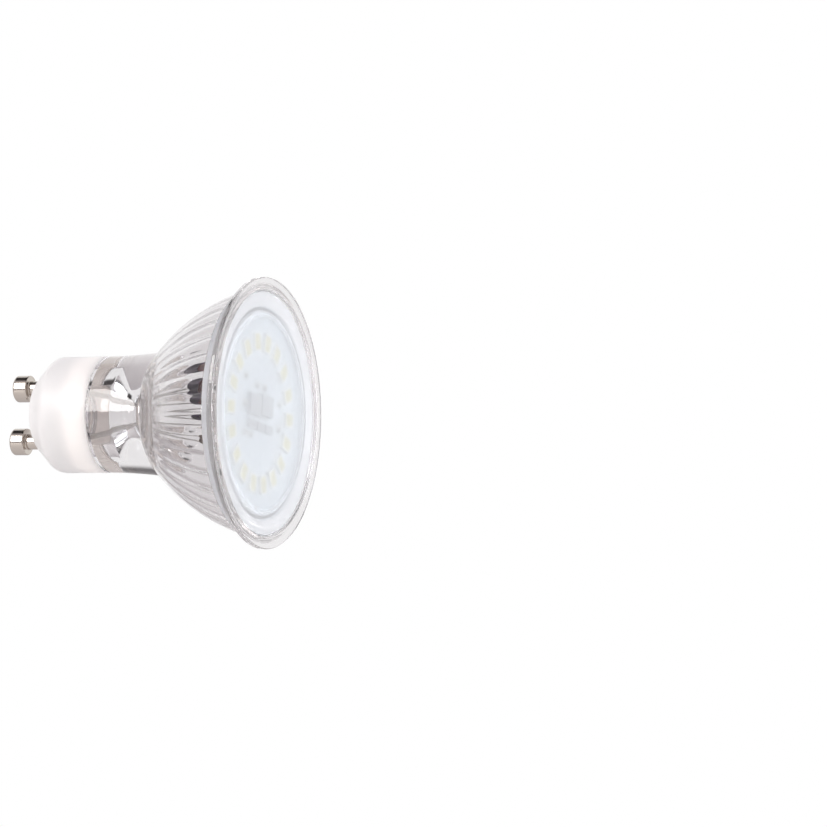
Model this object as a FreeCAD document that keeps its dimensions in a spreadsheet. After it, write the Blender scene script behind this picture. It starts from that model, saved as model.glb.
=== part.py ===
# All-glass LED spotlight bulb with a GU10 base.
#
# The lamp's axis runs along X. The origin is the centre of the base cap's flat end face, the light
# comes out towards +X, and the two contact pins stand one above the other along Z.
# Lengths are in millimetres and angles in degrees.

import FreeCAD, Part

import math
import os
import re

import Sketcher
from FreeCAD import Placement, Rotation, Vector

SIZES = [
    # Base cap, a moulded cup with the bevelled end of a GU10 base
    ("cap_length", 13.4, "cap, end face to front edge"),
    ("cap_end_margin", 2.1, "cap, from a pin's centre to the edge of the flat end face"),
    ("cap_bevel_width", 3.72, "cap, width of the bevel"),
    ("cap_bevel_angle", 45, "cap, bevel against the axis"),
    ("cap_bevel_round", 2.0, "cap, round between bevel and side"),
    ("cap_end_round", 0.5, "cap, round at the end face"),
    ("cap_end_wall", 2.2, "cap, wall behind the end face"),
    ("cap_side_wall", 1.5, "cap, side wall"),
    # Contact pins, turned
    ("pin_spacing", 10.0, "pins, centre to centre"),
    ("pin_reach", 6.1, "pins, how far they stand out of the end face"),
    ("pin_head_radius", 2.5, "pins, radius of the head"),
    ("pin_head_length", 2.85, "pins, length of the head"),
    ("pin_head_round", 0.45, "pins, round at the tip of the head"),
    ("pin_heel_round", 0.2, "pins, round at the heel of the head"),
    ("pin_shank_radius", 1.45, "pins, radius of the shank"),
    ("pin_hole_clearance", 0.03, "pins, clearance in the cap"),
    ("pin_collar_radius", 2.1, "pins, radius of the collar inside the cap"),
    ("pin_collar_length", 1.1, "pins, length of the collar"),
    ("pin_barrel_radius", 1.25, "pins, radius of the wire barrel"),
    ("pin_barrel_length", 2.6, "pins, length of the wire barrel"),
    ("pin_bore_radius", 0.4, "pins, radius of the wire bore"),
    ("pin_bore_depth", 2.2, "pins, depth of the wire bore"),
    # Glass body, one pressed piece: spigot, neck, throat, bell and rim
    ("cement_thickness", 0.3, "cement, between cap and spigot"),
    ("cement_margin", 0.8, "cement, kept back from both ends of the spigot"),
    ("glue_line", 0.1, "gap between the cap's front edge and the neck"),
    ("spigot_length", 5.9, "glass, length of the spigot in the cap"),
    ("spigot_wall", 3.52, "glass, wall of the spigot round the bore"),
    ("neck_share", 0.353, "glass, neck as a share of the length in front of the cap"),
    ("neck_swell", 0.74, "glass, how much wider the neck gets up to the shoulder"),
    ("neck_curve", 98.0, "glass, radius of the neck's gentle sweep"),
    ("bore_round", 0.8, "glass, round at the bottom of the bore"),
    ("throat_radius", 2.8, "glass, radius of the throat"),
    ("throat_taper", 2.8, "glass, length of the taper into the throat"),
    ("throat_length", 0.8, "glass, length of the throat"),
    ("flare_length", 4.8, "glass, length of the flare from throat to bell"),
    ("flare_curve", 5.8, "glass, radius of the flare"),
    ("hollow_gap", 0.52, "glass, from the shoulder to the start of the bell's hollow"),
    ("bell_roundness", 1.629, "glass, radius of the bell's outer arc against its chord"),
    ("bell_wall", 3.6, "glass, wall at the ridge between two flutes"),
    ("shoulder_round", 0.6, "glass, hollow round between neck and bell"),
    ("flute_count", 32, "glass, flutes inside the bell"),
    ("flute_curve", 4.9, "glass, radius across a flute"),
    ("flute_turn", 14.6, "glass, turn of the first flute about the axis"),
    ("lamp_length", 45.4, "glass, cap's end face to the front of the rim"),
    ("rim_radius", 25.0, "glass, radius of the rim"),
    ("rim_thickness", 1.1, "glass, thickness of the rim"),
    ("rim_round", 0.3, "glass, round on the rim's edges"),
    ("rim_hollow", 1.2, "glass, hollow round behind the rim"),
    ("rim_step", 1.74, "glass, width of the flat behind the rim"),
    ("rim_wall", 2.3, "glass, wall round the diffuser's seat"),
    ("seat_depth", 1.35, "glass, depth of the diffuser's seat"),
    ("ledge_width", 2.8, "glass, width of the ledge under the diffuser"),
    ("ledge_height", 2.3, "glass, from the ledge to the seat of the board"),
    # Diffuser and its seal
    ("diffuser_clearance", 0.2, "diffuser, clearance in its seat"),
    ("diffuser_thickness", 0.75, "diffuser, thickness of the disc"),
    ("diffuser_round", 0.25, "diffuser, round on the front edge"),
    ("skirt_clearance", 0.2, "diffuser, clearance of the skirt in the board's seat"),
    ("skirt_wall", 0.9, "diffuser, wall of the skirt"),
    ("seal_height", 0.5, "seal, height of the bead"),
    # Board with its light sources
    ("board_clearance", 0.25, "board, clearance in its seat"),
    ("board_thickness", 1.0, "board, thickness"),
    ("led_count", 18, "light sources on the ring"),
    ("led_ring_share", 0.672, "light sources, radius of the ring against the board's"),
    ("led_turn", 13.0, "light sources, turn of the first about the axis"),
    ("led_length", 3.5, "light source, length along the radius"),
    ("led_width", 2.8, "light source, width"),
    ("led_height", 0.7, "light source, height"),
    ("led_wall", 0.3, "light source, wall round the phosphor"),
    ("led_floor", 0.3, "light source, floor under the phosphor"),
    ("led_corner", 0.5, "light source, cut corner that marks its cathode"),
    ("phosphor_dip", 0.05, "phosphor, how far it lies below the edge"),
    # Lead wires from the pins to the board
    ("wire_radius", 0.5, "lead wires, radius of the insulation"),
    ("wire_strip", 0.4, "lead wires, bare length before a pin or the board"),
    ("wire_entry", 2.4, "lead wires, from the glass's rear end to their first bend"),
    ("wire_bore_gap", 1.2, "lead wires, distance from the bore's wall at that bend"),
    ("wire_throat_gap", 2.15, "lead wires, distance from the axis in the throat"),
    ("wire_exit", 1.5, "lead wires, from the throat to the bend behind it"),
    ("wire_cross_place", 0.366, "lead wires, bend across, as a share of the hollow's length"),
    ("wire_cross_share", 0.7, "lead wires, share of the way across at that bend"),
    ("wire_landing_place", 0.695, "lead wires, last bend, as a share of the hollow's length"),
    ("wire_hole_inset", 1.95, "lead wires, from the ring of light sources to their holes"),
    ("wire_hole_up", 0.75, "lead wires, middle of their holes up"),
    ("wire_hole_pitch", 4.5, "lead wires, pitch of their holes"),
    # Room that the driver's parts are laid out for
    ("driver_room", 11.45, "driver, radius inside the ring of light sources"),
    ("driver_depth", 16.4, "driver, depth of the hollow behind the board"),
]

# Sizes of the driver's parts, which shrink with the room that they have
DRIVER_SIZES = [
    # Small parts on the front of the board
    ("bridge_length", 4.7, "rectifier, length"),
    ("bridge_width", 3.9, "rectifier, width"),
    ("bridge_height", 1.15, "rectifier, height"),
    ("bridge_across", -3.1, "rectifier, place across"),
    ("bridge_up", 1.2, "rectifier, place up"),
    ("bridge_pitch", 2.5, "rectifier, pitch of its legs"),
    ("chip_length", 4.9, "driver chip, length"),
    ("chip_width", 3.7, "driver chip, width"),
    ("chip_height", 1.1, "driver chip, height"),
    ("chip_across", 2.2, "driver chip, place across"),
    ("chip_up", 1.6, "driver chip, place up"),
    ("chip_pitch", 1.27, "driver chip, pitch of its legs"),
    ("leg_reach", 0.6, "legs, how far they stand out"),
    ("leg_width", 0.42, "legs, width"),
    ("leg_thickness", 0.2, "legs, thickness"),
    ("resistor_length", 3.2, "chip resistor, length"),
    ("resistor_width", 1.6, "chip resistor, width"),
    ("resistor_height", 0.6, "chip resistor, height"),
    ("resistor_gap", 0.6, "chip resistor, gap to the next"),
    # Parts that stand on the back of the board
    ("standoff", 0.4, "parts behind the board, height of their feet"),
    ("lead_radius", 0.3, "leads, radius"),
    ("lead_stub", 0.7, "leads, how far they stand out of the board"),
    ("lead_hole_radius", 0.42, "board, radius of the lead holes"),
    ("solder_radius", 0.85, "solder joints, radius at the board"),
    ("solder_height", 0.55, "solder joints, height"),
    ("can_radius", 3.85, "smoothing capacitor, radius of the can"),
    ("can_length", 11.0, "smoothing capacitor, length of the can"),
    ("can_round", 0.5, "smoothing capacitor, round of the can"),
    ("can_groove", 0.35, "smoothing capacitor, depth of the crimp"),
    ("can_crimp_place", 1.6, "smoothing capacitor, from its foot to the crimp"),
    ("can_crimp_slope", 0.6, "smoothing capacitor, half width of the crimp"),
    ("can_across", 0.5, "smoothing capacitor, place across"),
    ("can_up", 5.0, "smoothing capacitor, place up"),
    ("can_pitch", 3.5, "smoothing capacitor, lead pitch"),
    ("sleeve_thickness", 0.15, "smoothing capacitor, sleeve"),
    ("sleeve_lip", 0.7, "smoothing capacitor, sleeve over the ends"),
    ("film_length", 7.2, "film capacitor, length"),
    ("film_width", 3.5, "film capacitor, width"),
    ("film_height", 4.8, "film capacitor, height"),
    ("film_round", 0.8, "film capacitor, round"),
    ("film_across", -6.3, "film capacitor, place across"),
    ("film_up", 3.5, "film capacitor, place up"),
    ("film_pitch", 5.0, "film capacitor, lead pitch"),
    ("fuse_radius", 1.3, "fusible resistor, radius"),
    ("fuse_length", 6.2, "fusible resistor, length"),
    ("fuse_round", 0.4, "fusible resistor, round"),
    ("fuse_across", -5.6, "fusible resistor, place across"),
    ("fuse_up", -4.4, "fusible resistor, place up"),
    ("fuse_pitch", 2.6, "fusible resistor, lead pitch"),
    ("fuse_loop", 1.2, "fusible resistor, height of its lead loop"),
]

# Sizes and places that follow from the named ones
DERIVED = [
    ("cap_end_radius", "pin_spacing / 2 + cap_end_margin", "cap, radius of the flat end face"),
    ("cap_radius", "cap_end_radius + cap_bevel_width", "cap, outer radius"),
    ("cap_bore", "cap_radius - cap_side_wall", "cap, inner radius"),
    ("collar_end", "cap_end_wall + pin_collar_length", "pins, front of the collar"),
    ("barrel_end", "collar_end + pin_barrel_length", "pins, front of the barrel"),
    ("spigot_radius", "cap_bore - cement_thickness", "glass, radius of the spigot"),
    ("bore_radius", "spigot_radius - spigot_wall", "glass, radius of the bore behind the throat"),
    ("neck_rear", "cap_length + glue_line", "glass, rear end of the neck"),
    ("glass_rear", "neck_rear - spigot_length", "glass, rear end of the spigot"),
    ("shoulder", "neck_rear + neck_share * (lamp_length - neck_rear)", "glass, front end of the neck"),
    ("shoulder_radius", "cap_radius + neck_swell", "glass, radius at the shoulder"),
    ("rim_back", "lamp_length - rim_thickness", "glass, back of the rim"),
    ("bell_rim", "rim_radius - rim_step", "glass, radius of the bell at the rim"),
    ("bell_length", "rim_back - shoulder", "glass, length of the bell's outer arc along the axis"),
    ("bell_rise", "bell_rim - shoulder_radius", "glass, how much the bell widens"),
    ("bell_chord", "sqrt(bell_length ^ 2 + bell_rise ^ 2)", "glass, chord of the bell's outer arc"),
    ("bell_curve", "bell_roundness * bell_chord", "glass, radius of the bell's outer arc"),
    ("bell_reach", "sqrt(bell_curve ^ 2 - (bell_chord / 2) ^ 2)",
     "glass, from the chord of the bell's arc to its centre"),
    ("bell_centre_place", "(shoulder + rim_back) / 2 + bell_reach * bell_rise / bell_chord",
     "glass, centre of the bell's arc along the axis"),
    ("bell_centre_drop", "bell_reach * bell_length / bell_chord - (shoulder_radius + bell_rim) / 2",
     "glass, centre of the bell's arc beyond the axis"),
    ("hollow_curve", "bell_curve - bell_wall", "glass, radius of the arc along the ridges"),
    ("hollow_start", "shoulder + hollow_gap", "glass, start of the bell's hollow"),
    ("throat_end", "hollow_start - flare_length", "glass, front of the throat"),
    ("throat_start", "throat_end - throat_length", "glass, rear of the throat"),
    ("bore_end", "throat_start - throat_taper", "glass, bottom of the bore"),
    ("seat", "lamp_length - seat_depth", "glass, seat of the diffuser"),
    ("seat_radius", "rim_radius - rim_wall", "glass, radius of the diffuser's seat"),
    ("board_back", "seat - ledge_height", "board, back"),
    ("board_front", "board_back + board_thickness", "board, front"),
    ("board_seat_radius", "seat_radius - ledge_width", "glass, radius of the board's seat"),
    ("board_radius", "board_seat_radius - board_clearance", "board, radius"),
    ("hollow_length", "board_back - hollow_start", "glass, length of the bell's hollow"),
    ("diffuser_radius", "seat_radius - diffuser_clearance", "diffuser, radius"),
    ("diffuser_front", "seat + diffuser_thickness", "diffuser, front"),
    ("skirt_radius", "board_seat_radius - skirt_clearance", "diffuser, outer radius of the skirt"),
    ("led_ring_radius", "led_ring_share * board_radius", "light sources, radius of the ring"),
    ("led_inner", "led_ring_radius - led_length / 2", "light sources, radius inside the ring"),
    ("led_outer", "led_ring_radius + led_length / 2", "light sources, radius round the ring"),
    ("wire_entry_gap", "bore_radius - wire_bore_gap",
     "lead wires, distance from the axis at the first bend"),
    ("wire_hole_across", "led_inner - wire_hole_inset", "lead wires, place of their holes across"),
    ("driver_scale", "min(led_inner / driver_room; hollow_length / driver_depth)",
     "driver, size of its parts against their full size"),
    ("part_foot", "board_back - standoff", "parts behind the board, their feet"),
    ("lead_end", "board_front + lead_stub", "leads, front end"),
]
NAMES = {row[0] for row in SIZES + DRIVER_SIZES + DERIVED}

doc = FreeCAD.newDocument("spotlight_bulb")
sheet = doc.addObject("Spreadsheet::Sheet", "Sizes")
cells = [(alias, str(value), note) for alias, value, note in SIZES]
cells += [(alias, f"={value} * driver_scale", note) for alias, value, note in DRIVER_SIZES]
cells += [(alias, f"={formula}", note) for alias, formula, note in DERIVED]
for row, (alias, content, note) in enumerate(cells, start=1):
    sheet.set(f"A{row}", note)
    sheet.setAlias(f"B{row}", alias)
for row, (alias, content, note) in enumerate(cells, start=1):
    sheet.set(f"B{row}", content)
doc.recompute()

pieces = []


def tied(expression):
    """The same expression with each size named through the sheet."""
    def named(word):
        return f"Sizes.{word.group()}" if word.group() in NAMES else word.group()

    return re.sub(r"[a-z_]+", named, expression)


def size(expression):
    """The value of an expression in the sheet's names."""
    return float(sheet.evalExpression(tied(expression)))


def on_bell(place, curve):
    """Radius, at a place along the axis, of an arc of the given radius about the bell's centre."""
    return f"(sqrt({curve} ^ 2 - (bell_centre_place - {place}) ^ 2) - bell_centre_drop)"


def keep(piece, name):
    piece.Label = name
    pieces.append(piece)
    return piece


def new_body(name):
    return keep(doc.addObject("PartDesign::Body", name), name)


def origin_part(body, role):
    return next(part for part in body.Origin.OriginFeatures if part.Role == role)


def new_sketch(body, role, lift="0"):
    """A sketch on one of the body's own planes, lifted off it by an expression."""
    sketch = body.newObject("Sketcher::SketchObject", f"{body.Name}_sketch")
    sketch.AttachmentSupport = (origin_part(body, role), [""])
    sketch.MapMode = "FlatFace"
    sketch.setExpression("AttachmentOffset.Base.z", tied(lift))
    return sketch


def pin_down(sketch, edge, end, across, up):
    """Hold one end of an edge at a place given by two expressions."""
    for kind, expression in (("DistanceX", across), ("DistanceY", up)):
        index = sketch.addConstraint(Sketcher.Constraint(kind, edge, end, size(expression)))
        sketch.setExpression(f"Constraints[{index}]", tied(expression))


def arc_middle(start, end, radius, side):
    """Middle point of the arc from start to end; side is 1 for an arc that swells to its left."""
    chord = end - start
    rise = radius - math.sqrt(radius ** 2 - (chord.Length / 2) ** 2)
    normal = Vector(-chord.y, chord.x, 0).normalize()
    return (start + end) * 0.5 + normal * rise * side


def draw_outline(sketch, corners, arcs):
    """Closed outline through corners, given as pairs of expressions; arcs holds (radius, side) by edge.

    Every arc is drawn anticlockwise, so one that swells to its left is drawn from its end.
    """
    points = [Vector(size(across), size(up), 0) for across, up in corners]
    starts = []
    for index, start in enumerate(points):
        end = points[(index + 1) % len(points)]
        if index in arcs:
            radius, side = arcs[index]
            middle = arc_middle(start, end, size(radius), side)
            first, last = (end, start) if side > 0 else (start, end)
            edge = sketch.addGeometry(Part.Arc(first, middle, last))
            bound = sketch.addConstraint(Sketcher.Constraint("Radius", edge, size(radius)))
            sketch.setExpression(f"Constraints[{bound}]", tied(radius))
            starts.append((2, 1) if side > 0 else (1, 2))
        else:
            sketch.addGeometry(Part.LineSegment(start, end))
            starts.append((1, 2))
    for index, (across, up) in enumerate(corners):
        before = index - 1 if index else len(corners) - 1
        meeting = Sketcher.Constraint("Coincident", before, starts[before][1], index, starts[index][0])
        sketch.addConstraint(meeting)
        pin_down(sketch, index, starts[index][0], across, up)


def turned(name, corners, arcs=None):
    """A body of revolution about the lamp's axis, or about its own axis along X."""
    body = new_body(name)
    sketch = new_sketch(body, "XY_Plane")
    draw_outline(sketch, corners, arcs or {})
    turn = body.newObject("PartDesign::Revolution", f"{name}_turn")
    turn.Profile = sketch
    turn.ReferenceAxis = (origin_part(body, "X_Axis"), [""])
    turn.Angle = 360
    doc.recompute()
    return body


def ring(name, rear, front, outer, inner):
    return turned(name, [(rear, inner), (rear, outer), (front, outer), (front, inner)])


def round_rings(body, rings, radius):
    """Round the circular edges found at the given pairs of place along the axis and radius."""
    wanted = [(size(place), size(across)) for place, across in rings]
    base = body.Tip
    edges = []
    for number, edge in enumerate(base.Shape.Edges, start=1):
        curve = edge.Curve
        if isinstance(curve, Part.Circle) and abs(curve.Axis.x) > 0.999:
            for place, across in wanted:
                if abs(curve.Center.x - place) < 0.001 and abs(curve.Radius - across) < 0.001:
                    edges.append(f"Edge{number}")
    rounding = body.newObject("PartDesign::Fillet", f"{body.Name}_round")
    rounding.Base = (base, edges)
    rounding.setExpression("Radius", tied(radius))
    body.Tip = rounding
    doc.recompute()


def drilled(body, face_place, holes, radius, depth):
    """Round holes through a body along +X, from a plane at face_place."""
    sketch = new_sketch(body, "YZ_Plane", face_place)
    for across, up in holes:
        centre = Vector(size(across), size(up), 0)
        edge = sketch.addGeometry(Part.Circle(centre, Vector(0, 0, 1), size(radius)))
        bound = sketch.addConstraint(Sketcher.Constraint("Radius", edge, size(radius)))
        sketch.setExpression(f"Constraints[{bound}]", tied(radius))
        pin_down(sketch, edge, 3, across, up)
    before = body.Tip.Shape.Volume
    hole = body.newObject("PartDesign::Pocket", f"{body.Name}_holes")
    hole.Profile = sketch
    hole.Reversed = True
    hole.setExpression("Length", tied(depth))
    body.Tip = hole
    doc.recompute()
    if not hole.Shape.Volume < before:
        raise RuntimeError(f"{body.Name}: the holes cut nothing")


def box_at(rear, front, across, up, length, width):
    """A block between two places along the axis, centred across and up."""
    base = Vector(size(rear), size(across) - size(length) / 2, size(up) - size(width) / 2)
    return Part.makeBox(size(front) - size(rear), size(length), size(width), base)


def rod(rear, front, across, up, radius):
    base = Vector(size(rear), size(across), size(up))
    return Part.makeCylinder(size(radius), size(front) - size(rear), base, Vector(1, 0, 0))


def bent_path(points):
    """Straight runs joined by tangent arcs, each as large as the two runs that it joins allow."""
    edges = []
    start = points[0]
    for before, corner, after in zip(points, points[1:], points[2:]):
        to_corner = (corner - before).normalize()
        to_after = (after - corner).normalize()
        turn = to_corner.getAngle(to_after)
        cut = 0.45 * min(before.distanceToPoint(corner), corner.distanceToPoint(after))
        first = corner - to_corner * cut
        last = corner + to_after * cut
        radius = cut / math.tan(turn / 2)
        inward = (to_after - to_corner).normalize()
        middle = corner + inward * (radius / math.cos(turn / 2) - radius)
        edges.append(Part.LineSegment(start, first).toShape())
        edges.append(Part.Arc(first, middle, last).toShape())
        start = last
    edges.append(Part.LineSegment(start, points[-1]).toShape())
    return Part.Wire(edges)


def along(path, radius):
    """A round rod that follows a path."""
    first = path.Vertexes[0].Point
    direction = path.Edges[0].tangentAt(path.Edges[0].FirstParameter)
    section = Part.Wire(Part.makeCircle(radius, first, direction))
    return path.makePipeShell([section], True, True)


def shaped(name, shape):
    """A piece, or a group of like pieces, whose shape is computed from the sheet's sizes."""
    piece = doc.addObject("Part::Feature", name)
    piece.Shape = shape
    piece.Placement = Placement()
    return keep(piece, name)


def make_glass_body():
    """Pressed glass: spigot, neck with its bore, throat, fluted bell and rim with two seats."""
    corners = [
        ("glass_rear", "bore_radius"),
        ("glass_rear", "spigot_radius"),
        ("neck_rear", "spigot_radius"),
        ("neck_rear", "cap_radius"),
        ("shoulder", on_bell("shoulder", "bell_curve")),
        ("rim_back", on_bell("rim_back", "bell_curve")),
        ("rim_back", "rim_radius"),
        ("lamp_length", "rim_radius"),
        ("lamp_length", "seat_radius"),
        ("seat", "seat_radius"),
        ("seat", "board_seat_radius"),
        ("board_back", "board_seat_radius"),
        ("board_back", "0"),
        ("hollow_start", "0"),
        ("hollow_start", on_bell("hollow_start", "hollow_curve")),
        ("throat_end", "throat_radius"),
        ("throat_start", "throat_radius"),
        ("bore_end", "bore_radius"),
    ]
    neck, bell, flare = 3, 4, 14
    arcs = {neck: ("neck_curve", -1), bell: ("bell_curve", 1), flare: ("flare_curve", 1)}
    blank = turned("glass_blank", corners, arcs)
    pieces.remove(blank)
    round_rings(blank, [("rim_back", "rim_radius"), ("lamp_length", "rim_radius")], "rim_round")
    round_rings(blank, [("rim_back", on_bell("rim_back", "bell_curve"))], "rim_hollow")
    round_rings(blank, [("shoulder", on_bell("shoulder", "bell_curve"))], "shoulder_round")
    round_rings(blank, [("bore_end", "bore_radius")], "bore_round")
    hollow = doc.addObject("Part::Cut", "glass_body")
    hollow.Base = blank
    hollow.Tool = make_fluted_plug()
    hollow.setExpression("Placement.Rotation.Angle", tied("flute_turn"))
    hollow.Placement = Placement(Vector(), Rotation(Vector(1, 0, 0), size("flute_turn")))
    doc.recompute()
    return keep(hollow, "glass_body")


def make_fluted_plug():
    """The plug that presses the bell's hollow: a loft through rings of shallow arcs, one arc a flute.

    The ridges between the flutes lie on the bell's inner arc. Each flute is rounded to flute_curve,
    so it deepens as it widens towards the rim, and it fades out at the throat.
    """
    start, end = size("hollow_start"), size("board_back")
    turn = 2 * math.pi / size("flute_count")
    stations = 7
    rings = []
    for station in range(stations):
        place = start + (end - start) * station / (stations - 1)
        ridge = size(on_bell(f"{place:.6f}", "hollow_curve"))
        half_width = ridge * math.sin(turn / 2)
        depth = size("flute_curve") - math.sqrt(size("flute_curve") ** 2 - half_width ** 2)
        middle = ridge * math.cos(turn / 2) + depth if station else ridge
        arcs = []
        for number in range(int(size("flute_count"))):
            left = around(place, ridge, (number - 0.5) * turn)
            right = around(place, ridge, (number + 0.5) * turn)
            arcs.append(Part.Arc(left, around(place, middle, number * turn), right).toShape())
        ring_wire = doc.addObject("Part::Feature", f"plug_ring_{station + 1}")
        ring_wire.Shape = Part.Wire(arcs)
        rings.append(ring_wire)
    plug = doc.addObject("Part::Loft", "fluted_plug")
    plug.Sections = rings
    plug.Solid = True
    doc.recompute()
    return plug


def around(place, radius, angle):
    """A point at a place along the axis, at an angle about it from straight up."""
    return Vector(place, -radius * math.sin(angle), radius * math.cos(angle))


def make_base_cap():
    """Moulded cup with a bevelled end and two holes for the pins."""
    bevel = "((cap_radius - cap_end_radius) / tan(cap_bevel_angle))"
    inner_bevel = "((cap_side_wall + cap_bore - cap_end_radius - cap_end_wall) / tan(cap_bevel_angle))"
    inner_end = f"(cap_bore - {inner_bevel} * tan(cap_bevel_angle))"
    corners = [
        ("0", "0"),
        ("0", "cap_end_radius"),
        (bevel, "cap_radius"),
        ("cap_length", "cap_radius"),
        ("cap_length", "cap_bore"),
        (f"(cap_end_wall + {inner_bevel})", "cap_bore"),
        ("cap_end_wall", inner_end),
        ("cap_end_wall", "0"),
    ]
    body = turned("base_cap", corners)
    round_rings(body, [(bevel, "cap_radius")], "cap_bevel_round")
    round_rings(body, [("0", "cap_end_radius")], "cap_end_round")
    holes = [("0", "pin_spacing / 2"), ("0", "-pin_spacing / 2")]
    drilled(body, "0", holes, "pin_shank_radius + pin_hole_clearance", "cap_end_wall")
    return body


def make_contact_pin(name, side):
    """Turned pin: head, shank through the cap, collar inside it and a barrel for the wire."""
    bore_bottom = "(barrel_end - pin_bore_depth)"
    corners = [
        ("-pin_reach", "0"),
        ("-pin_reach", "pin_head_radius"),
        ("pin_head_length - pin_reach", "pin_head_radius"),
        ("pin_head_length - pin_reach", "pin_shank_radius"),
        ("cap_end_wall", "pin_shank_radius"),
        ("cap_end_wall", "pin_collar_radius"),
        ("collar_end", "pin_collar_radius"),
        ("collar_end", "pin_barrel_radius"),
        ("barrel_end", "pin_barrel_radius"),
        ("barrel_end", "pin_bore_radius"),
        (bore_bottom, "pin_bore_radius"),
        (bore_bottom, "0"),
    ]
    body = turned(name, corners)
    round_rings(body, [("-pin_reach", "pin_head_radius")], "pin_head_round")
    round_rings(body, [("pin_head_length - pin_reach", "pin_head_radius")], "pin_heel_round")
    body.setExpression("Placement.Base.z", tied(f"{side} * pin_spacing / 2"))
    return body


def make_lead_wire(name, side):
    """Insulated wire with bare ends, from a pin's barrel through the throat to its hole in the board."""
    pin_up = size("pin_spacing") / 2 * side
    throat_up = size("wire_throat_gap") * side
    hole_across = size("wire_hole_across")
    hole_up = size("wire_hole_up") + size("wire_hole_pitch") / 2 * side
    bare = size("wire_strip")
    start = Vector(size("barrel_end") + bare, 0, pin_up)
    end = Vector(size("board_back") - bare, hole_across, hole_up)
    entry_up = size("wire_entry_gap") * side
    cross = size("hollow_start + wire_cross_place * hollow_length")
    landing = size("hollow_start + wire_landing_place * hollow_length")
    route = [
        start,
        Vector(size("glass_rear + wire_entry"), 0, entry_up),
        Vector(size("throat_start"), 0, throat_up),
        Vector(size("throat_end + wire_exit"), 0, throat_up),
        Vector(cross, size("wire_cross_share") * hole_across, hole_up),
        Vector(landing, hole_across, hole_up),
        end,
    ]
    insulation = along(bent_path(route), size("wire_radius"))
    core = size("lead_radius")
    reach = size("pin_bore_depth - lead_radius")
    rear_end = Part.makeCylinder(core, bare + reach, start - Vector(bare + reach, 0, 0), Vector(1, 0, 0))
    front_reach = bare + size("board_thickness") + size("lead_stub")
    front_end = Part.makeCylinder(core, front_reach, end, Vector(1, 0, 0))
    return shaped(name, insulation.fuse([rear_end, front_end]).removeSplitter())


# Places of the leads that come through the board: across and up
LEAD_PLACES = {
    "can": [("can_across - can_pitch / 2", "can_up"), ("can_across + can_pitch / 2", "can_up")],
    "film": [("film_across", "film_up - film_pitch / 2"), ("film_across", "film_up + film_pitch / 2")],
    "fuse": [("fuse_across", "fuse_up"), ("fuse_across + fuse_pitch", "fuse_up")],
    "wire": [("wire_hole_across", "wire_hole_up - wire_hole_pitch / 2"),
             ("wire_hole_across", "wire_hole_up + wire_hole_pitch / 2")],
}


def make_led_board():
    """Round board with a hole for every lead."""
    corners = [("board_back", "0"), ("board_back", "board_radius"), ("board_front", "board_radius"),
               ("board_front", "0")]
    body = turned("led_board", corners)
    holes = [place for places in LEAD_PLACES.values() for place in places]
    drilled(body, "board_back", holes, "lead_hole_radius", "board_thickness")
    return body


def make_led_package(number):
    """White package of one light source, open in front, with one cut corner."""
    name = f"led_package_{number + 1:02d}"
    body = new_body(name)
    half = "led_width / 2"
    sketch = new_sketch(body, "YZ_Plane", "board_front")
    corners = [(f"-{half}", "led_inner"), (half, "led_inner"), (half, "led_outer - led_corner"),
               (f"{half} - led_corner", "led_outer"), (f"-{half}", "led_outer")]
    draw_outline(sketch, corners, {})
    block = body.newObject("PartDesign::Pad", f"{name}_block")
    block.Profile = sketch
    block.setExpression("Length", tied("led_height"))
    doc.recompute()
    window = new_sketch(body, "YZ_Plane", "board_front + led_height")
    edge, low, high = f"({half} - led_wall)", "led_inner + led_wall", "led_outer - led_wall"
    draw_outline(window, [(f"-{edge}", low), (edge, low), (edge, f"{high} - led_corner"),
                          (f"{edge} - led_corner", high), (f"-{edge}", high)], {})
    well = body.newObject("PartDesign::Pocket", f"{name}_well")
    well.Profile = window
    well.setExpression("Length", tied("led_height - led_floor"))
    body.Tip = well
    doc.recompute()
    if not well.Shape.Volume < block.Shape.Volume:
        raise RuntimeError(f"{name}: the well cuts nothing")
    body.setExpression("Placement.Rotation.Angle", tied(f"led_turn + {number} * 360 / led_count"))
    turn = size(f"led_turn + {number} * 360 / led_count")
    body.Placement = Placement(Vector(), Rotation(Vector(1, 0, 0), turn))
    return body


def make_led_phosphor():
    """The yellow filling of every light source."""
    rear = size("board_front + led_floor")
    height = size("led_height - led_floor - phosphor_dip")
    half = size("led_width / 2 - led_wall")
    low = size("led_inner + led_wall")
    high = size("led_outer - led_wall")
    cut = size("led_corner")
    corners = [Vector(rear, -half, low), Vector(rear, half, low), Vector(rear, half, high - cut),
               Vector(rear, half - cut, high), Vector(rear, -half, high)]
    filling = Part.Face(Part.makePolygon(corners + corners[:1])).extrude(Vector(height, 0, 0))
    fillings = []
    for number in range(int(size("led_count"))):
        turn = size(f"led_turn + {number} * 360 / led_count")
        fillings.append(filling.rotated(Vector(), Vector(1, 0, 0), turn))
    return shaped("led_phosphor", Part.makeCompound(fillings))


def legged_chip(name, length, width, height, across, up, pitch, legs_a_side):
    """Black moulded part with flat legs along its two long sides."""
    lift = "(board_front + leg_thickness / 2)"
    shape = box_at(lift, f"board_front + {height}", across, up, length, width)
    for leg in range(legs_a_side):
        leg_across = f"{across} + ({leg} - ({legs_a_side} - 1) / 2) * {pitch}"
        reach = f"{width} + 2 * leg_reach"
        leg_top = "board_front + leg_thickness"
        shape = shape.fuse(box_at("board_front", leg_top, leg_across, up, "leg_width", reach))
    return shaped(name, shape.removeSplitter())


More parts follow.
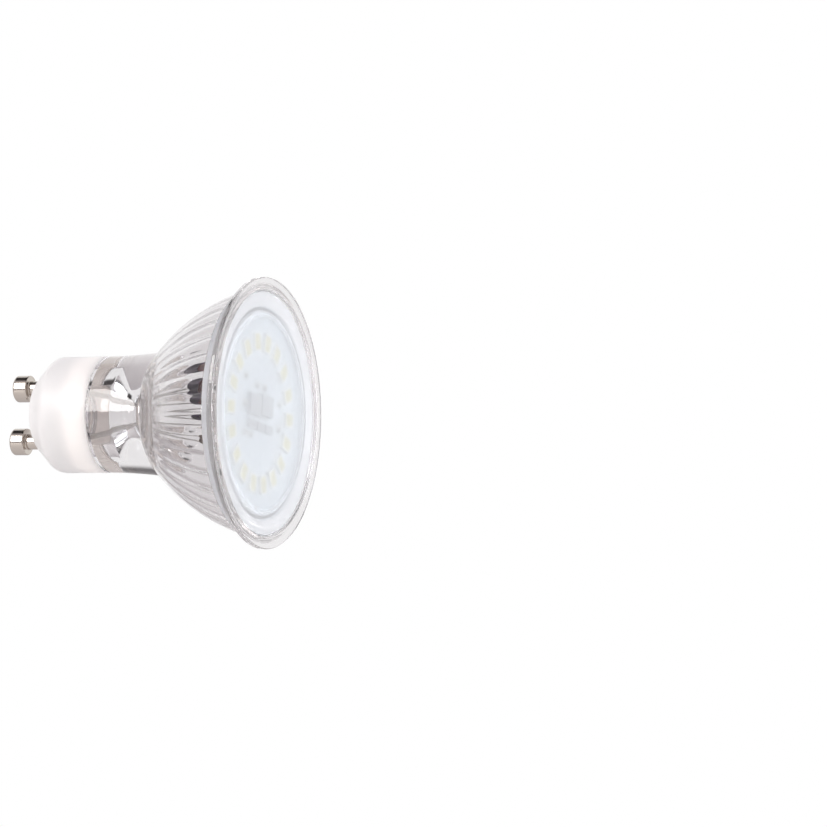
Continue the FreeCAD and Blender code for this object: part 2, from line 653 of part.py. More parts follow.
def make_chip_resistors():
    """Three chip resistors below the two black parts."""
    below = "bridge_up - bridge_width / 2 - leg_reach - resistor_width / 2 - resistor_gap / 2"
    top = "board_front + resistor_height"
    blocks = []
    for number in range(3):
        across = f"bridge_across + {number} * (resistor_length + resistor_gap)"
        blocks.append(box_at("board_front", top, across, below, "resistor_length", "resistor_width"))
    return shaped("chip_resistors", Part.makeCompound(blocks))


def make_smoothing_capacitor():
    """Aluminium can with a crimp, in a black sleeve that laps over both ends."""
    rear = "(part_foot - can_length)"
    crimp = "(part_foot - can_crimp_place)"
    can = turned("capacitor_can", [
        (rear, "0"),
        (rear, "can_radius"),
        (f"{crimp} - can_crimp_slope", "can_radius"),
        (crimp, "can_radius - can_groove"),
        (f"{crimp} + can_crimp_slope", "can_radius"),
        ("part_foot", "can_radius"),
        ("part_foot", "0"),
    ])
    round_rings(can, [(rear, "can_radius")], "can_round")
    sleeve_rear = f"({rear} - sleeve_thickness)"
    outer = "(can_radius + sleeve_thickness)"
    sleeve = turned("capacitor_sleeve", [
        (sleeve_rear, "can_radius - sleeve_lip"),
        (sleeve_rear, outer),
        ("part_foot + sleeve_thickness", outer),
        ("part_foot + sleeve_thickness", "can_radius - sleeve_lip"),
        ("part_foot", "can_radius - sleeve_lip"),
        ("part_foot", "can_radius"),
        (rear, "can_radius"),
        (rear, "can_radius - sleeve_lip"),
    ])
    for body in (can, sleeve):
        body.setExpression("Placement.Base.y", tied("can_across"))
        body.setExpression("Placement.Base.z", tied("can_up"))


def make_film_capacitor():
    """Dark red dipped block with rounded edges."""
    block = box_at("part_foot - film_height", "part_foot", "film_across", "film_up", "film_width",
                   "film_length")
    return shaped("film_capacitor", block.makeFillet(size("film_round"), block.Edges))


def make_fusible_resistor():
    rear = "(part_foot - fuse_length)"
    body = turned("fusible_resistor", [(rear, "0"), (rear, "fuse_radius"), ("part_foot", "fuse_radius"),
                                       ("part_foot", "0")])
    round_rings(body, [(rear, "fuse_radius"), ("part_foot", "fuse_radius")], "fuse_round")
    body.setExpression("Placement.Base.y", tied("fuse_across"))
    body.setExpression("Placement.Base.z", tied("fuse_up"))
    return body


def make_component_leads():
    """Tinned leads of the parts behind the board; one of the fusible resistor's loops over its top."""
    straight = LEAD_PLACES["can"] + LEAD_PLACES["film"] + LEAD_PLACES["fuse"][:1]
    leads = [rod("part_foot", "lead_end", across, up, "lead_radius") for across, up in straight]
    top = size("part_foot - fuse_length")
    loop = top - size("fuse_loop")
    near, far = size("fuse_across"), size("fuse_across + fuse_pitch")
    up = size("fuse_up")
    front = Vector(size("lead_end"), far, up)
    route = [Vector(top, near, up), Vector(loop, near, up), Vector(loop, far, up), front]
    leads.append(along(bent_path(route), size("lead_radius")))
    return shaped("component_leads", Part.makeCompound(leads))


def make_solder_joints():
    """A small cone of solder round each lead on the front of the board."""
    wide, narrow, height = size("solder_radius"), size("lead_hole_radius"), size("solder_height")
    joints = []
    for places in LEAD_PLACES.values():
        for across, up in places:
            foot = Vector(size("board_front"), size(across), size(up))
            cone = Part.makeCone(wide, narrow, height, foot, Vector(1, 0, 0))
            joints.append(cone.cut(rod("board_front", "lead_end", across, up, "lead_radius")))
    return shaped("solder_joints", Part.makeCompound(joints))


def make_diffuser():
    """Frosted disc on the glass ledge, with a skirt that holds the board down."""
    body = turned("diffuser", [
        ("diffuser_front", "0"),
        ("diffuser_front", "diffuser_radius"),
        ("seat", "diffuser_radius"),
        ("seat", "skirt_radius"),
        ("board_front", "skirt_radius"),
        ("board_front", "skirt_radius - skirt_wall"),
        ("seat", "skirt_radius - skirt_wall"),
        ("seat", "0"),
    ])
    round_rings(body, [("diffuser_front", "diffuser_radius")], "diffuser_round")
    return body


def write_pieces():
    """Check every object, then write one file for each piece."""
    doc.recompute()
    for thing in doc.Objects:
        if {"Invalid", "Error"} & set(thing.State):
            raise RuntimeError(f"{thing.Label} failed: {thing.State}")
    for piece in pieces:
        if piece.Shape.isNull() or not piece.Shape.isValid() or piece.Shape.Volume <= 0:
            raise RuntimeError(f"{piece.Label} has no valid shape")
    os.makedirs("parts", exist_ok=True)
    for piece in pieces:
        piece.Shape.exportStep(f"parts/{piece.Label}.step")
        print(f"{piece.Label}: {len(piece.Shape.Solids)} solid, {piece.Shape.Volume / 1000:.3f} cm3")


make_glass_body()
make_base_cap()
make_contact_pin("contact_pin_upper", 1)
make_contact_pin("contact_pin_lower", -1)
ring("neck_cement", "glass_rear + cement_margin", "cap_length - cement_margin", "cap_bore", "spigot_radius")
make_lead_wire("lead_wire_upper", 1)
make_lead_wire("lead_wire_lower", -1)
make_led_board()
for number in range(int(size("led_count"))):
    make_led_package(number)
make_led_phosphor()
legged_chip("rectifier_bridge", "bridge_length", "bridge_width", "bridge_height", "bridge_across",
            "bridge_up", "bridge_pitch", 2)
legged_chip("driver_chip", "chip_length", "chip_width", "chip_height", "chip_across", "chip_up",
            "chip_pitch", 4)
make_chip_resistors()
make_smoothing_capacitor()
make_film_capacitor()
make_fusible_resistor()
make_component_leads()
make_solder_joints()
make_diffuser()
ring("diffuser_seal", "seat", "seat + seal_height", "seat_radius", "diffuser_radius")
write_pieces()
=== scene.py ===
# %% [markdown]
# # A glass spotlight bulb, dressed from its CAD frame
#
# The lamp is one thick piece of pressed glass with a white base cap and two headed pins behind, and
# a frosted disc in front. Almost all of its look comes from light that bends through the glass, so
# the shapes have to be right on both sides of every wall before any finish can look right.
#
# Every object is in metres in the frame of the CAD model: the lamp's axis runs along X, the light
# face looks to +X and the two pins stand one above the other along Z.

# %% Load the frame
import math

import bmesh
import bpy
import numpy as np
from mathutils import Matrix, Vector


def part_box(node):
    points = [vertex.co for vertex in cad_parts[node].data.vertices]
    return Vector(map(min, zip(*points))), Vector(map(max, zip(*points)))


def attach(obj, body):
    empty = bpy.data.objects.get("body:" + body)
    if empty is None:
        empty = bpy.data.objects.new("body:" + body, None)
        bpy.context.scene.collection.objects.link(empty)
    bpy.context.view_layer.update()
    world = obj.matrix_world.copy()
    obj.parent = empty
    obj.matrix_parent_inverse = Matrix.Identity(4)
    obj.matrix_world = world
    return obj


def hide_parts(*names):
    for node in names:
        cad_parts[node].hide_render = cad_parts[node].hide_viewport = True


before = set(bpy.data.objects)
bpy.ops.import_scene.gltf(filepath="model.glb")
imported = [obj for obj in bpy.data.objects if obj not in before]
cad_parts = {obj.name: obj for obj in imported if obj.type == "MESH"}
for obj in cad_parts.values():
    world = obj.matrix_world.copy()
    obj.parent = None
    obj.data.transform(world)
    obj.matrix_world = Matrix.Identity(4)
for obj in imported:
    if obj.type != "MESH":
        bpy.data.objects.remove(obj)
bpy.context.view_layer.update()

MM = 0.001

# %% [markdown]
# ## The camera
#
# The photograph shows little perspective, so a long lens is assumed, one metre away. It looks from a
# little below the lamp, whose axis is turned some 22 degrees out of the picture plane, light face
# towards the viewer. The camera stands on a line given by that turn and by how much the viewer looks
# up. A small roll lets the axis rise towards the right, as it does in the photograph.

# %% Camera
AXIS_TURN = math.radians(22.22)   # lamp's axis against the picture plane
LOOK_UP = math.radians(9.0)       # turn of the pins about the axis, as the viewer sees them
ROLL = math.radians(0.55)
DISTANCE = 1.0                    # assumed, in metres from the rim's centre
ASIDE, BELOW = 0.0267, 0.00007    # the lamp lies to the left of the picture's middle
SENSOR, LENS = 36.0, 237.1        # millimetres

toward = Vector((math.sin(AXIS_TURN), -math.cos(AXIS_TURN) * math.cos(LOOK_UP),
                 -math.cos(AXIS_TURN) * math.sin(LOOK_UP)))
level_right = Vector((math.cos(AXIS_TURN), math.sin(AXIS_TURN) * math.cos(LOOK_UP),
                      math.sin(AXIS_TURN) * math.sin(LOOK_UP)))
level_up = toward.cross(level_right)
right = level_right * math.cos(ROLL) - level_up * math.sin(ROLL)
up = level_up * math.cos(ROLL) + level_right * math.sin(ROLL)

camera = bpy.data.objects.new("camera", bpy.data.cameras.new("camera"))
bpy.context.scene.collection.objects.link(camera)
rim_centre = Vector((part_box("glass_body")[1].x, 0, 0))
viewpoint = Matrix.Translation(rim_centre + right * ASIDE - up * BELOW + toward * DISTANCE)
camera.matrix_world = viewpoint @ Matrix((right, up, toward)).transposed().to_4x4()
camera.data.sensor_width, camera.data.lens = SENSOR, LENS
camera.data.clip_start, camera.data.clip_end = 0.05, 20
bpy.context.scene.camera = camera
print("camera at", [round(value, 4) for value in camera.location])

# %% [markdown]
# ## Helpers for colour and nodes
#
# Colours are written as sRGB hex values, the way a paint chart gives them, and one function turns
# them to the linear values that the renderer wants. A second small function adds a shader node with
# its settings, its values and its links, so each finish below reads like a short list.

# %% Colour and node helpers
def linear(hex_code):
    """Linear colour of an sRGB hex value.

    Each channel v becomes v / 12.92 up to 0.04045, and ((v + 0.055) / 1.055)^2.4 above it.
    """
    channels = [int(hex_code[i:i + 2], 16) / 255 for i in (1, 3, 5)]
    return [c / 12.92 if c <= 0.04045 else ((c + 0.055) / 1.055) ** 2.4 for c in channels] + [1.0]


def add_node(tree, kind, settings=None, values=None, links=None):
    """A shader node with its settings, the values of its sockets and the outputs that feed it."""
    node = tree.nodes.new(kind)
    for name, setting in (settings or {}).items():
        setattr(node, name, setting)
    for socket, value in (values or {}).items():
        node.inputs[socket].default_value = value
    for socket, output in (links or {}).items():
        tree.links.new(output, node.inputs[socket])
    return node


def new_finish(name, **sockets):
    """A material with one Principled surface; sockets are given by name with _ for a space."""
    material = bpy.data.materials.new(name)
    material.use_nodes = True
    surface = material.node_tree.nodes["Principled BSDF"]
    for socket, value in sockets.items():
        surface.inputs[socket.replace("_", " ")].default_value = value
    return material, material.node_tree, surface


def grain(tree, size_mm, detail=2.0, stretch=(1, 1, 1)):
    """Noise on the object's own coordinates whose lumps are size_mm across: its scale is 1000/size_mm."""
    place = add_node(tree, "ShaderNodeTexCoord")
    mapping = add_node(tree, "ShaderNodeMapping", values={"Scale": stretch},
                       links={"Vector": place.outputs["Object"]})
    return add_node(tree, "ShaderNodeTexNoise", values={"Scale": 1000 / size_mm, "Detail": detail},
                    links={"Vector": mapping.outputs["Vector"]})


def blend_colours(tree, factor, first, second):
    """A mix between two hex colours by a factor output."""
    mix = add_node(tree, "ShaderNodeMix", settings={"data_type": "RGBA"}, links={0: factor})
    mix.inputs[6].default_value, mix.inputs[7].default_value = linear(first), linear(second)
    return mix.outputs[2]


def mottle(tree, surface, factor, first, second):
    """Base colour that wanders between two hex colours."""
    tree.links.new(blend_colours(tree, factor, first, second), surface.inputs["Base Color"])


def ramp(tree, value, start_mm, end_mm, first, last, shape="LINEAR"):
    """A number that goes from first to last while a length goes from start_mm to end_mm."""
    limits = {"From Min": start_mm * MM, "From Max": end_mm * MM, "To Min": first, "To Max": last}
    return add_node(tree, "ShaderNodeMapRange", settings={"interpolation_type": shape}, values=limits,
                    links={"Value": value}).outputs["Result"]


def axis_distance(tree):
    """Distance of a point from the lamp's axis, the length of (0, y, z)."""
    place = add_node(tree, "ShaderNodeTexCoord")
    flat = add_node(tree, "ShaderNodeVectorMath", settings={"operation": "MULTIPLY"},
                    values={1: (0, 1, 1)}, links={0: place.outputs["Object"]})
    return add_node(tree, "ShaderNodeVectorMath", settings={"operation": "LENGTH"},
                    links={0: flat.outputs["Vector"]}).outputs["Value"]


def relief(tree, surface, height, depth_mm, strength=1.0):
    """Bump whose full height stands for depth_mm."""
    bump = add_node(tree, "ShaderNodeBump", values={"Strength": strength, "Distance": depth_mm * MM},
                    links={"Height": height})
    tree.links.new(bump.outputs["Normal"], surface.inputs["Normal"])

# %% [markdown]
# ## Helpers for shapes
#
# Most pieces of a lamp are turned or pressed, so they are surfaces of revolution. A profile in place
# along the axis and radius is rounded at its corners and then carried round the axis as one array.
# Points close to each end of a rounding keep the flats beside it flat in the shading.

# %% Shape helpers
def rounded(corners, steps=6, guard=0.06):
    """Profile points with each corner (x, r, radius) replaced by its tangent arc.

    The arc starts radius*tan(turn/2) before the corner and its points lie at equal angles about the
    centre that is radius/cos(turn/2) away on the corner's inner bisector. A guard point on each
    straight run keeps its shading flat.
    """
    points = []
    count = len(corners)
    for index in range(count):
        here = np.array(corners[index][:2], float)
        radius = corners[index][2] if len(corners[index]) > 2 else 0.0
        if radius == 0:
            points.append(here)
            continue
        before = np.array(corners[index - 1][:2], float) - here
        after = np.array(corners[(index + 1) % count][:2], float) - here
        before_length, after_length = np.linalg.norm(before), np.linalg.norm(after)
        before, after = before / before_length, after / after_length
        half = math.acos(np.clip(before @ after, -1, 1)) / 2
        cut = radius / math.tan(half)
        centre = here + (before + after) / np.linalg.norm(before + after) * radius / math.sin(half)
        first, last = here + before * cut - centre, here + after * cut - centre
        start = math.atan2(first[1], first[0])
        swing = (math.atan2(last[1], last[0]) - start + math.pi) % (2 * math.pi) - math.pi
        angles = start + swing * np.linspace(0, 1, steps + 1)
        if before_length > cut + 2 * guard:
            points.append(here + before * (cut + guard))
        points.extend(centre + radius * np.array([math.cos(a), math.sin(a)]) for a in angles)
        if after_length > cut + 2 * guard:
            points.append(here + after * (cut + guard))
    return np.array(points)


def arc_between(start, end, radius, steps, side=1):
    """Points of an arc from start to end; its centre is on the right of the chord for side 1."""
    start, end = np.array(start, float), np.array(end, float)
    chord = end - start
    length = np.linalg.norm(chord)
    normal = np.array([chord[1], -chord[0]]) / length * side
    centre = (start + end) / 2 + normal * math.sqrt(radius ** 2 - length ** 2 / 4)
    first, last = start - centre, end - centre
    begin = math.atan2(first[1], first[0])
    swing = (math.atan2(last[1], last[0]) - begin + math.pi) % (2 * math.pi) - math.pi
    angles = begin + swing * np.linspace(0, 1, steps + 1)
    return centre + radius * np.stack([np.cos(angles), np.sin(angles)], axis=1)


def grid_piece(name, grid, closed_u=True, crease=35.0):
    """A mesh from a grid of points (rows u, columns v) in mm; v always closes on itself.

    Rows that shrink to a point are welded, so poles are closed, and edges that turn by more than
    crease degrees are kept sharp.
    """
    rows, columns = grid.shape[:2]
    u = np.arange(rows if closed_u else rows - 1)[:, None]
    v = np.arange(columns)[None, :]
    u_next, v_next = (u + 1) % rows, (v + 1) % columns
    faces = np.stack([u * columns + v, u * columns + v_next, u_next * columns + v_next,
                      u_next * columns + v], axis=-1).reshape(-1, 4)
    mesh = bpy.data.meshes.new(name)
    mesh.from_pydata((grid.reshape(-1, 3) * MM).tolist(), [], faces.tolist())
    work = bmesh.new()
    work.from_mesh(mesh)
    bmesh.ops.remove_doubles(work, verts=work.verts, dist=1e-7)
    bmesh.ops.dissolve_degenerate(work, edges=work.edges, dist=1e-8)
    bmesh.ops.recalc_face_normals(work, faces=work.faces)
    work.to_mesh(mesh)
    work.free()
    mesh.shade_smooth()
    mesh.set_sharp_from_angle(angle=math.radians(crease))
    piece = bpy.data.objects.new(name, mesh)
    bpy.context.scene.collection.objects.link(piece)
    return piece


def lathe(name, profile, columns, across=0.0, height=0.0, closed_u=True):
    """Profile points (x, r) carried round an axis along X.

    The axis goes through (across, height): y = across + r sin v and z = height + r cos v.
    """
    profile = np.asarray(profile, float)
    v = np.linspace(0, 2 * math.pi, columns, endpoint=False)[None, :]
    x, r = profile[:, 0][:, None], profile[:, 1][:, None]
    grid = np.stack([x + 0 * v, across + r * np.sin(v), height + r * np.cos(v)], axis=-1)
    return grid_piece(name, grid, closed_u)


def dress(piece, material, slot, *nodes):
    """Give a new piece its finish, let it stand for CAD nodes and ride on the lamp."""
    piece.data.materials.clear()
    piece.data.materials.append(material)
    if nodes:
        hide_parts(*nodes)
    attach(piece, "root")
    low, high = (np.array(corner) for corner in (piece.bound_box[0], piece.bound_box[6]))
    print(f"{piece.name}: {len(piece.data.polygons)} faces, size {np.round((high - low) / MM, 2)} mm")


def coat(material, *names):
    """Assign a finish to CAD nodes that are kept as they are."""
    for name in names:
        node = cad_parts[name]
        node.data.materials.clear()
        node.data.materials.append(material)

# %% [markdown]
# ## Clear pressed glass
#
# Pressed soda-lime glass bends light by an index of about 1.5. The mould leaves very slow waves in
# its skin, a few millimetres long and a few micrometres deep, which make reflections swim a little.
# The body tint is a light grey, stronger than in real clear glass: each wall that a ray crosses takes
# a little more, so that the bell stands out from the white paper as it does in the photograph.

# %% Clear glass finish
clear_glass, tree, surface = new_finish(
    "pressed_soda_lime_glass", Base_Color=linear("#EBE9EA"), Roughness=0.0, IOR=1.5,
    Transmission_Weight=1.0)
waves = grain(tree, 4.0, detail=1.0)     # mould waves, 4 mm long and 2 micrometres deep
relief(tree, surface, waves.outputs["Fac"], 0.002, strength=0.5)

# %% [markdown]
# ## The glass body
#
# On the real lamp the glass is pressed in one go: a spigot that the cap is cemented to, a neck with
# a bore, a narrow throat that opens like a trumpet, and the bell. The plunger leaves 32 shallow
# flutes inside the bell, while the outside stays smooth. A boolean of 32 cutters would work, but a
# formula is cleaner: the inner radius is a function of the place along the axis and the angle.
#
# Glass that touches another part shares a face with it, and a ray tracer can't tell which of two
# faces in one place comes first. So a hair's breadth of air is left under the disc and the board.

# %% Glass body
LAMP_LENGTH, RIM_RADIUS, RIM_THICKNESS = 45.4, 25.0, 1.1
NECK_REAR, GLASS_REAR, SHOULDER = 13.5, 7.6, 24.761
CAP_RADIUS, SPIGOT_RADIUS, SHOULDER_RADIUS = 10.82, 9.02, 11.56
BORE_RADIUS, THROAT_RADIUS = 5.5, 2.8
BORE_END, THROAT_START, THROAT_END, HOLLOW_START = 16.881, 19.681, 20.481, 25.281
RIM_BACK, BELL_RIM = LAMP_LENGTH - RIM_THICKNESS, 23.26
SEAT, SEAT_RADIUS = 44.05, 22.7
BOARD_BACK, BOARD_SEAT_RADIUS = 41.75, 19.9
NECK_CURVE, BELL_CURVE, BELL_WALL, FLARE_CURVE, RIM_ROUND = 98.0, 37.1, 3.6, 5.8, 0.3
AIR = 0.03                        # gap between touching parts, so that no two faces coincide
FLUTES, FLUTE_CURVE, FLUTE_TURN = 32, 3.9, math.radians(14.6)
RIDGE_SHARE = 0.25                # part of each half flute that is rounded into the ridge
COLUMNS_A_FLUTE = 16
SHOULDER_ROUND, RIM_FILLET, CORNER_ROUND, THROAT_ROUND = 0.6, 1.2, 0.15, 0.8
FILLET_REACH = 1.3                # bell points this near to the rim's corner make way for its fillet

bell_line = arc_between((SHOULDER, SHOULDER_RADIUS), (RIM_BACK, BELL_RIM), BELL_CURVE, 40)
chord = np.array([RIM_BACK - SHOULDER, BELL_RIM - SHOULDER_RADIUS])
chord_length = np.linalg.norm(chord)
bell_centre = np.array([(SHOULDER + RIM_BACK) / 2, (SHOULDER_RADIUS + BELL_RIM) / 2]) + np.array(
    [chord[1], -chord[0]]) / chord_length * math.sqrt(BELL_CURVE ** 2 - chord_length ** 2 / 4)


def ridge_radius(x):
    """Radius of the ridges between the flutes: the bell's arc, moved in by its wall."""
    return bell_centre[1] + np.sqrt((BELL_CURVE - BELL_WALL) ** 2 - (x - bell_centre[0]) ** 2)


def fluted_radius(x, angle):
    """Inner radius of the bell at a place along the axis and an angle about it.

    Between two ridges the wall is an arc of FLUTE_CURVE whose centre lies c from the axis, so at the
    angle p from the flute's middle the radius is c cos p + sqrt(FLUTE_CURVE^2 - (c sin p)^2). Near a
    ridge p is held back, which rounds the ridge, and the flutes fade in over the first sixth of the
    hollow.
    """
    ridge = ridge_radius(x)
    half_pitch = math.pi / FLUTES
    c = ridge * math.cos(half_pitch) - np.sqrt(FLUTE_CURVE ** 2 - (ridge * math.sin(half_pitch)) ** 2)
    p = (angle + half_pitch) % (2 * half_pitch) - half_pitch
    near_ridge = np.clip(np.abs(p) / half_pitch - (1 - RIDGE_SHARE), 0, None)
    p = np.abs(p) - half_pitch * near_ridge ** 2 / (2 * RIDGE_SHARE)
    fluted = c * np.cos(p) + np.sqrt(FLUTE_CURVE ** 2 - (c * np.sin(p)) ** 2)
    share = np.clip((x - HOLLOW_START) / (BOARD_BACK - HOLLOW_START) * 6, 0, 1)
    return ridge + (fluted - ridge) * share * share * (3 - 2 * share)


def clear_of(points, corner, reach):
    """The points that lie farther than reach from a corner, as plain (x, r) pairs."""
    points = np.asarray(points)
    return [tuple(p) for p in points[np.linalg.norm(points - np.array(corner), axis=1) > reach]]


neck_line = arc_between((NECK_REAR, CAP_RADIUS), (SHOULDER, SHOULDER_RADIUS), NECK_CURVE, 12, side=-1)
hollow_x = np.linspace(BOARD_BACK - AIR, HOLLOW_START, 40)
hollow_line = np.stack([hollow_x, ridge_radius(hollow_x)], axis=1)
flare_line = arc_between(hollow_line[-1], (THROAT_END, THROAT_RADIUS), FLARE_CURVE, 14)
outline = rounded([
    *clear_of(neck_line, (SHOULDER, SHOULDER_RADIUS), SHOULDER_ROUND),
    (SHOULDER, SHOULDER_RADIUS, SHOULDER_ROUND),
    *clear_of(clear_of(bell_line, (SHOULDER, SHOULDER_RADIUS), SHOULDER_ROUND), (RIM_BACK, BELL_RIM),
              FILLET_REACH),
    (RIM_BACK, BELL_RIM, RIM_FILLET), (RIM_BACK, RIM_RADIUS, RIM_ROUND),
    (LAMP_LENGTH, RIM_RADIUS, RIM_ROUND), (LAMP_LENGTH, SEAT_RADIUS, RIM_ROUND),
    (SEAT - AIR, SEAT_RADIUS, CORNER_ROUND), (SEAT - AIR, BOARD_SEAT_RADIUS, CORNER_ROUND),
    (BOARD_BACK - AIR, BOARD_SEAT_RADIUS, CORNER_ROUND), *hollow_line, *flare_line[1:],
    (THROAT_START, THROAT_RADIUS, THROAT_ROUND), (BORE_END, BORE_RADIUS, THROAT_ROUND),
    (GLASS_REAR, BORE_RADIUS, RIM_ROUND), (GLASS_REAR, SPIGOT_RADIUS, RIM_ROUND),
    (NECK_REAR, SPIGOT_RADIUS, CORNER_ROUND)])
on_ridge = np.abs(outline[:, 1] - ridge_radius(outline[:, 0])) < 1e-6
is_hollow = on_ridge & (outline[:, 0] >= HOLLOW_START - 1e-6)
print(f"glass outline: {len(outline)} points, {is_hollow.sum()} of them fluted")

angle = np.linspace(0, 2 * math.pi, FLUTES * COLUMNS_A_FLUTE, endpoint=False)[None, :]
place, radius = outline[:, 0][:, None] + 0 * angle, outline[:, 1][:, None] + 0 * angle
radius[is_hollow] = fluted_radius(place[is_hollow], angle + 0 * place[is_hollow])
turned = angle + FLUTE_TURN
glass_grid = np.stack([place, -radius * np.sin(turned), radius * np.cos(turned)], axis=-1)
dress(grid_piece("pressed_glass_body", glass_grid, crease=50.0), clear_glass, "clear_glass", "glass_body")

# %% [markdown]
# ## White base cap
#
# The cap is moulded from a white heat-proof plastic with a soft satin skin. Up close such a skin is
# faintly pebbled, and its colour is a warm white that never quite reaches paper white. The cap is a
# turned cup, so its profile is carried round the axis, and a boolean drills the two pin holes.

# %% White cap finish
white_cap, tree, surface = new_finish("moulded_white_pbt", Roughness=0.38, IOR=1.5, Subsurface_Weight=0.8,
                                      Subsurface_Radius=(1, 1, 1), Subsurface_Scale=0.005)
clouds = grain(tree, 6.0)
mottle(tree, surface, clouds.outputs["Fac"], "#F4F3F2", "#F9F8F7")
pebbles = grain(tree, 0.5)
relief(tree, surface, pebbles.outputs["Fac"], 0.008, strength=0.6)

# %% Base cap
CAP_LENGTH, CAP_END_RADIUS, CAP_END_WALL, CAP_BORE = 13.4, 7.1, 2.2, 9.32
BEVEL, INNER_BEVEL = CAP_RADIUS - CAP_END_RADIUS, 1.52
PIN_UP, PIN_SHANK = 5.0, 1.45
DRILL_RADIUS = PIN_SHANK + 0.03   # with the pin's clearance
DRILL_START, DRILL_END = -1, 3    # beyond both sides of the cap's end wall
cap_corners = [(0, 0), (0, CAP_END_RADIUS, 0.5), (BEVEL, CAP_RADIUS, 2.0), (CAP_LENGTH, CAP_RADIUS, 0.2),
               (CAP_LENGTH, CAP_BORE, 0.1), (CAP_END_WALL + INNER_BEVEL, CAP_BORE, 0.5),
               (CAP_END_WALL, CAP_BORE - INNER_BEVEL, 0.5), (CAP_END_WALL, 0)]
cap = lathe("base_cap_moulding", rounded(cap_corners, steps=8), 192, closed_u=False)
drill_profile = [(DRILL_START, 0), (DRILL_START, DRILL_RADIUS), (DRILL_END, DRILL_RADIUS), (DRILL_END, 0)]
drills = [lathe(f"pin_drill_{number}", drill_profile, 48, height=height, closed_u=False)
          for number, height in enumerate((PIN_UP, -PIN_UP))]
for drill in drills:
    cut = cap.modifiers.new("pin_hole", "BOOLEAN")
    cut.object, cut.operation, cut.solver = drill, "DIFFERENCE", "EXACT"
drilled = bpy.data.meshes.new_from_object(cap.evaluated_get(bpy.context.evaluated_depsgraph_get()))
cap.modifiers.clear()
cap.data = drilled
for drill in drills:
    bpy.data.objects.remove(drill)
cap.data.set_sharp_from_angle(angle=math.radians(35))
dress(cap, white_cap, "white_cap", "base_cap")

# %% [markdown]
# ## Nickel-plated pins
#
# The pins are turned from brass and plated with nickel, a warm grey metal. A turned face keeps fine
# rings from the tool, too fine to see one by one, which draw a highlight out across them. The finish
# has faint rings along the pin's length and a mild unevenness in its gloss.

# %% Nickel finish
nickel, tree, surface = new_finish("turned_brass_nickel_plated", Metallic=1.0, Roughness=0.13,
                                   Base_Color=linear("#C9C1B9"))
rings = grain(tree, 0.25, detail=3.0, stretch=(1, 0.02, 0.02))
relief(tree, surface, rings.outputs["Fac"], 0.003, strength=0.35)
smears = grain(tree, 1.5)
tree.links.new(add_node(tree, "ShaderNodeMapRange", values={"To Min": 0.09, "To Max": 0.2},
                        links={"Value": smears.outputs["Fac"]}).outputs["Result"],
               surface.inputs["Roughness"])

# %% Contact pins
PIN_REACH, PIN_HEAD_LENGTH, PIN_HEAD = 6.1, 2.85, 2.5
COLLAR_END, COLLAR, BARREL_END, BARREL, PIN_BORE = 3.3, 2.1, 5.9, 1.25, 0.4
PIN_BORE_END = BARREL_END - 2.2
heel = PIN_HEAD_LENGTH - PIN_REACH
pin_corners = [(-PIN_REACH, 0), (-PIN_REACH, PIN_HEAD, 0.45), (heel, PIN_HEAD, 0.2),
               (heel, PIN_SHANK, 0.15), (CAP_END_WALL, PIN_SHANK, 0.03), (CAP_END_WALL, COLLAR, 0.1),
               (COLLAR_END, COLLAR, 0.1), (COLLAR_END, BARREL, 0.1), (BARREL_END, BARREL, 0.1),
               (BARREL_END, PIN_BORE, 0.05), (PIN_BORE_END, PIN_BORE), (PIN_BORE_END, 0)]
for side, height in (("upper", PIN_UP), ("lower", -PIN_UP)):
    pin = lathe(f"turned_pin_{side}", rounded(pin_corners), 96, height=height, closed_u=False)
    dress(pin, nickel, "nickel_plate", f"contact_pin_{side}")

# %% [markdown]
# ## Frosted diffuser
#
# The disc is a milky polycarbonate with a matt skin. It has to blur what lies two millimetres behind
# it but not hide it, because the light sources show through on the real lamp. A rough clear plastic
# with a share of plain white scatter in it does both. The share grows towards the disc's edge, and
# the skirt behind the disc is almost all scatter.

# %% Frosted finish
frosted, tree, surface = new_finish("frosted_polycarbonate", Base_Color=linear("#F6F8FA"), Roughness=0.23,
                                    IOR=1.45)
frost = grain(tree, 0.12)
relief(tree, surface, frost.outputs["Fac"], 0.004, strength=0.4)
MILKY_START, MILKY_END = 17.0, 19.2       # radii between which the disc grows milkier
CLEAR_MIDDLE, CLEAR_EDGE = 0.77, 0.67     # share of light that goes through inside and outside them
SKIRT_TOP, DISC_BACK, SKIRT_CLEAR = 43.9, 44.02, 0.1
milky = ramp(tree, axis_distance(tree), MILKY_START, MILKY_END, CLEAR_MIDDLE, CLEAR_EDGE, "SMOOTHSTEP")
place = add_node(tree, "ShaderNodeTexCoord")
depth = add_node(tree, "ShaderNodeSeparateXYZ", links={"Vector": place.outputs["Object"]})
skirt = ramp(tree, depth.outputs["X"], SKIRT_TOP, DISC_BACK, SKIRT_CLEAR, 1.0)
clear = add_node(tree, "ShaderNodeMath", settings={"operation": "MULTIPLY"}, links={0: milky, 1: skirt})
tree.links.new(clear.outputs["Value"], surface.inputs["Transmission Weight"])

